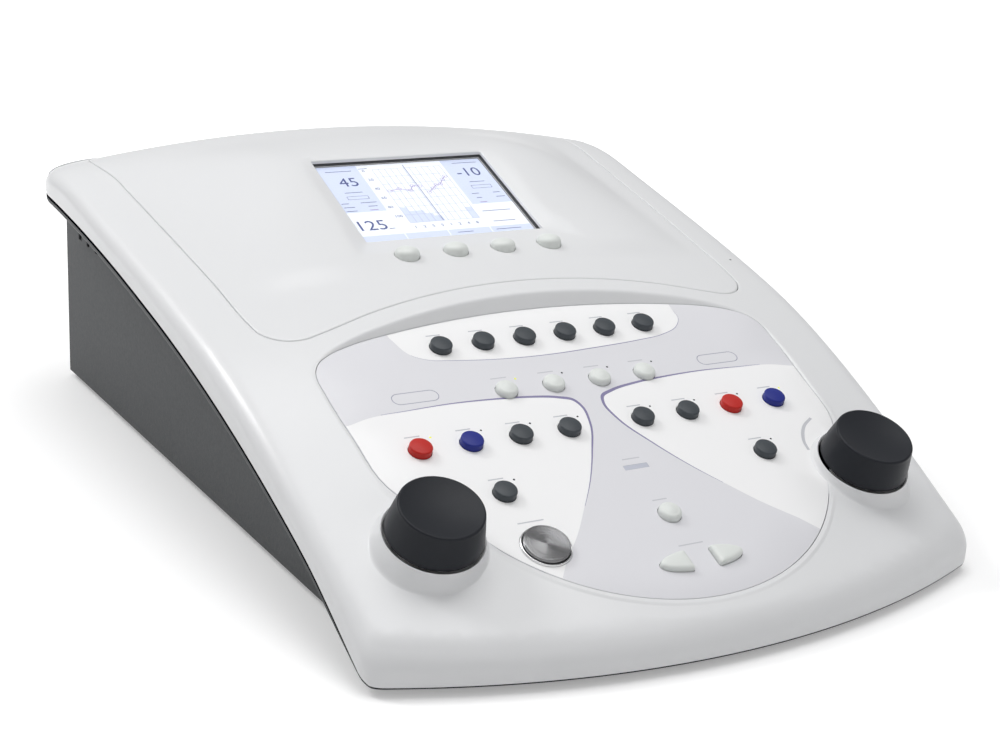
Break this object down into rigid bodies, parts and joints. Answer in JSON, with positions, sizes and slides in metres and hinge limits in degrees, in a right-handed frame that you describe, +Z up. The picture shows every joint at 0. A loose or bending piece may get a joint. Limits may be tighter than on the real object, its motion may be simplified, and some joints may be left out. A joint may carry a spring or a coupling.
{
  "type": "audiometer",
  "caption": "Desktop audiometer: a crowned white cover on a dark base, with a round keypad leaning to the front, two dials on raised collars and a display in a raised hood.",
  "frame": {"origin": "middle of the footprint, on the surface the feet stand on", "axes": "+X to the user's right, +Y to the back, +Z up"},
  "size_m": [0.3968, 0.5386, 0.1689],
  "materials": {
    "cover": "satin pearl white moulding",
    "overlay": "printed film overlay, pale grey with white fields",
    "base": "fine textured dark grey moulding",
    "rubber": "soft black",
    "clear": "clear window",
    "screen": "lit liquid crystal display",
    "frame": "black display frame",
    "board": "green circuit board",
    "socket": "black moulding",
    "light": "clear amber light pipe",
    "window": "pale blue lens",
    "chrome": "bright plated",
    "steel": "brushed",
    "dial": "satin black, fine grain",
    "ribbon": "grey ribbon cable",
    "key_dark": "satin dark grey",
    "key_pale": "satin pale green-grey",
    "key_red": "satin red",
    "key_blue": "satin blue"
  },
  "bodies": {
    "case": {"top_cover": "cover", "display_hood": "cover", "keypad_overlay": "overlay", "base_housing": "base", "rubber_feet": "rubber", "lcd_window": "clear", "lcd_screen": "screen", "lcd_frame": "frame", "keypad_board": "board", "soft_key_board": "board", "main_board": "board", "key_switches": "socket", "key_lights": "light", "response_window": "window", "interrupter_ring": "chrome", "left_encoder": "socket", "right_encoder": "socket", "power_supply": "steel", "display_ribbon": "ribbon", "jack_sockets": "chrome", "data_port": "steel", "power_inlet": "socket", "power_switch": "socket", "base_screws": "steel", "board_screws": "steel"},
    "menu_key_1": {"menu_key_1": "key_dark"},
    "menu_key_2": {"menu_key_2": "key_dark"},
    "menu_key_3": {"menu_key_3": "key_dark"},
    "menu_key_4": {"menu_key_4": "key_dark"},
    "menu_key_5": {"menu_key_5": "key_dark"},
    "menu_key_6": {"menu_key_6": "key_dark"},
    "mode_key_1": {"mode_key_1": "key_pale"},
    "mode_key_2": {"mode_key_2": "key_pale"},
    "mode_key_3": {"mode_key_3": "key_pale"},
    "mode_key_4": {"mode_key_4": "key_pale"},
    "left_key_1": {"left_key_1": "key_dark"},
    "left_key_2": {"left_key_2": "key_dark"},
    "left_key_3": {"left_key_3": "key_blue"},
    "left_key_4": {"left_key_4": "key_red"},
    "left_key_5": {"left_key_5": "key_dark"},
    "right_key_1": {"right_key_1": "key_dark"},
    "right_key_2": {"right_key_2": "key_dark"},
    "right_key_3": {"right_key_3": "key_red"},
    "right_key_4": {"right_key_4": "key_blue"},
    "right_key_5": {"right_key_5": "key_dark"},
    "store_key": {"store_key": "key_pale"},
    "frequency_down_key": {"frequency_down_key": "key_pale"},
    "frequency_up_key": {"frequency_up_key": "key_pale"},
    "interrupter_key": {"interrupter_key": "steel"},
    "soft_key_1": {"soft_key_1": "key_pale"},
    "soft_key_2": {"soft_key_2": "key_pale"},
    "soft_key_3": {"soft_key_3": "key_pale"},
    "soft_key_4": {"soft_key_4": "key_pale"},
    "left_dial_body": {"left_dial": "dial", "left_shaft": "steel"},
    "right_dial_body": {"right_dial": "dial", "right_shaft": "steel"},
    "rocker": {"power_rocker": "socket"}
  },
  "joints": [
    {"name": "menu_key_1_press", "type": "slide", "parent": "case", "child": "menu_key_1", "axis": [0, -0.3843, 0.9232], "range_m": [-0.0015, 0], "stiffness_N_per_m": 800},
    {"name": "menu_key_2_press", "type": "slide", "parent": "case", "child": "menu_key_2", "axis": [0, -0.3843, 0.9232], "range_m": [-0.0015, 0], "stiffness_N_per_m": 800},
    {"name": "menu_key_3_press", "type": "slide", "parent": "case", "child": "menu_key_3", "axis": [0, -0.3843, 0.9232], "range_m": [-0.0015, 0], "stiffness_N_per_m": 800},
    {"name": "menu_key_4_press", "type": "slide", "parent": "case", "child": "menu_key_4", "axis": [0, -0.3843, 0.9232], "range_m": [-0.0015, 0], "stiffness_N_per_m": 800},
    {"name": "menu_key_5_press", "type": "slide", "parent": "case", "child": "menu_key_5", "axis": [0, -0.3843, 0.9232], "range_m": [-0.0015, 0], "stiffness_N_per_m": 800},
    {"name": "menu_key_6_press", "type": "slide", "parent": "case", "child": "menu_key_6", "axis": [0, -0.3843, 0.9232], "range_m": [-0.0015, 0], "stiffness_N_per_m": 800},
    {"name": "mode_key_1_press", "type": "slide", "parent": "case", "child": "mode_key_1", "axis": [0, -0.3843, 0.9232], "range_m": [-0.0015, 0], "stiffness_N_per_m": 800},
    {"name": "mode_key_2_press", "type": "slide", "parent": "case", "child": "mode_key_2", "axis": [0, -0.3843, 0.9232], "range_m": [-0.0015, 0], "stiffness_N_per_m": 800},
    {"name": "mode_key_3_press", "type": "slide", "parent": "case", "child": "mode_key_3", "axis": [0, -0.3843, 0.9232], "range_m": [-0.0015, 0], "stiffness_N_per_m": 800},
    {"name": "mode_key_4_press", "type": "slide", "parent": "case", "child": "mode_key_4", "axis": [0, -0.3843, 0.9232], "range_m": [-0.0015, 0], "stiffness_N_per_m": 800},
    {"name": "left_key_1_press", "type": "slide", "parent": "case", "child": "left_key_1", "axis": [0, -0.3843, 0.9232], "range_m": [-0.0015, 0], "stiffness_N_per_m": 800},
    {"name": "left_key_2_press", "type": "slide", "parent": "case", "child": "left_key_2", "axis": [0, -0.3843, 0.9232], "range_m": [-0.0015, 0], "stiffness_N_per_m": 800},
    {"name": "left_key_3_press", "type": "slide", "parent": "case", "child": "left_key_3", "axis": [0, -0.3843, 0.9232], "range_m": [-0.0015, 0], "stiffness_N_per_m": 800},
    {"name": "left_key_4_press", "type": "slide", "parent": "case", "child": "left_key_4", "axis": [0, -0.3843, 0.9232], "range_m": [-0.0015, 0], "stiffness_N_per_m": 800},
    {"name": "left_key_5_press", "type": "slide", "parent": "case", "child": "left_key_5", "axis": [0, -0.3843, 0.9232], "range_m": [-0.0015, 0], "stiffness_N_per_m": 800},
    {"name": "right_key_1_press", "type": "slide", "parent": "case", "child": "right_key_1", "axis": [0, -0.3843, 0.9232], "range_m": [-0.0015, 0], "stiffness_N_per_m": 800},
    {"name": "right_key_2_press", "type": "slide", "parent": "case", "child": "right_key_2", "axis": [0, -0.3843, 0.9232], "range_m": [-0.0015, 0], "stiffness_N_per_m": 800},
    {"name": "right_key_3_press", "type": "slide", "parent": "case", "child": "right_key_3", "axis": [0, -0.3843, 0.9232], "range_m": [-0.0015, 0], "stiffness_N_per_m": 800},
    {"name": "right_key_4_press", "type": "slide", "parent": "case", "child": "right_key_4", "axis": [0, -0.3843, 0.9232], "range_m": [-0.0015, 0], "stiffness_N_per_m": 800},
    {"name": "right_key_5_press", "type": "slide", "parent": "case", "child": "right_key_5", "axis": [0, -0.3843, 0.9232], "range_m": [-0.0015, 0], "stiffness_N_per_m": 800},
    {"name": "store_key_press", "type": "slide", "parent": "case", "child": "store_key", "axis": [0, -0.3843, 0.9232], "range_m": [-0.0015, 0], "stiffness_N_per_m": 800},
    {"name": "frequency_down_key_press", "type": "slide", "parent": "case", "child": "frequency_down_key", "axis": [0, -0.3843, 0.9232], "range_m": [-0.0015, 0], "stiffness_N_per_m": 800},
    {"name": "frequency_up_key_press", "type": "slide", "parent": "case", "child": "frequency_up_key", "axis": [0, -0.3843, 0.9232], "range_m": [-0.0015, 0], "stiffness_N_per_m": 800},
    {"name": "interrupter_key_press", "type": "slide", "parent": "case", "child": "interrupter_key", "axis": [0, -0.3843, 0.9232], "range_m": [-0.0015, 0], "stiffness_N_per_m": 800},
    {"name": "soft_key_1_press", "type": "slide", "parent": "case", "child": "soft_key_1", "axis": [0, 0, 1], "range_m": [-0.0012, 0], "stiffness_N_per_m": 800},
    {"name": "soft_key_2_press", "type": "slide", "parent": "case", "child": "soft_key_2", "axis": [0, 0, 1], "range_m": [-0.0012, 0], "stiffness_N_per_m": 800},
    {"name": "soft_key_3_press", "type": "slide", "parent": "case", "child": "soft_key_3", "axis": [0, 0, 1], "range_m": [-0.0012, 0], "stiffness_N_per_m": 800},
    {"name": "soft_key_4_press", "type": "slide", "parent": "case", "child": "soft_key_4", "axis": [0, 0, 1], "range_m": [-0.0012, 0], "stiffness_N_per_m": 800},
    {"name": "left_dial_turn", "type": "hinge", "parent": "case", "child": "left_dial_body", "pos_m": [-0.13, -0.19494, 0.06049], "axis": [0, -0.3843, 0.9232], "continuous": true},
    {"name": "right_dial_turn", "type": "hinge", "parent": "case", "child": "right_dial_body", "pos_m": [0.13, -0.19494, 0.06049], "axis": [0, -0.3843, 0.9232], "continuous": true},
    {"name": "power_rocker_turn", "type": "hinge", "parent": "case", "child": "rocker", "pos_m": [0.07, 0.2465, 0.044], "axis": [1, 0, 0], "range_deg": [-8, 8]}
  ]
}
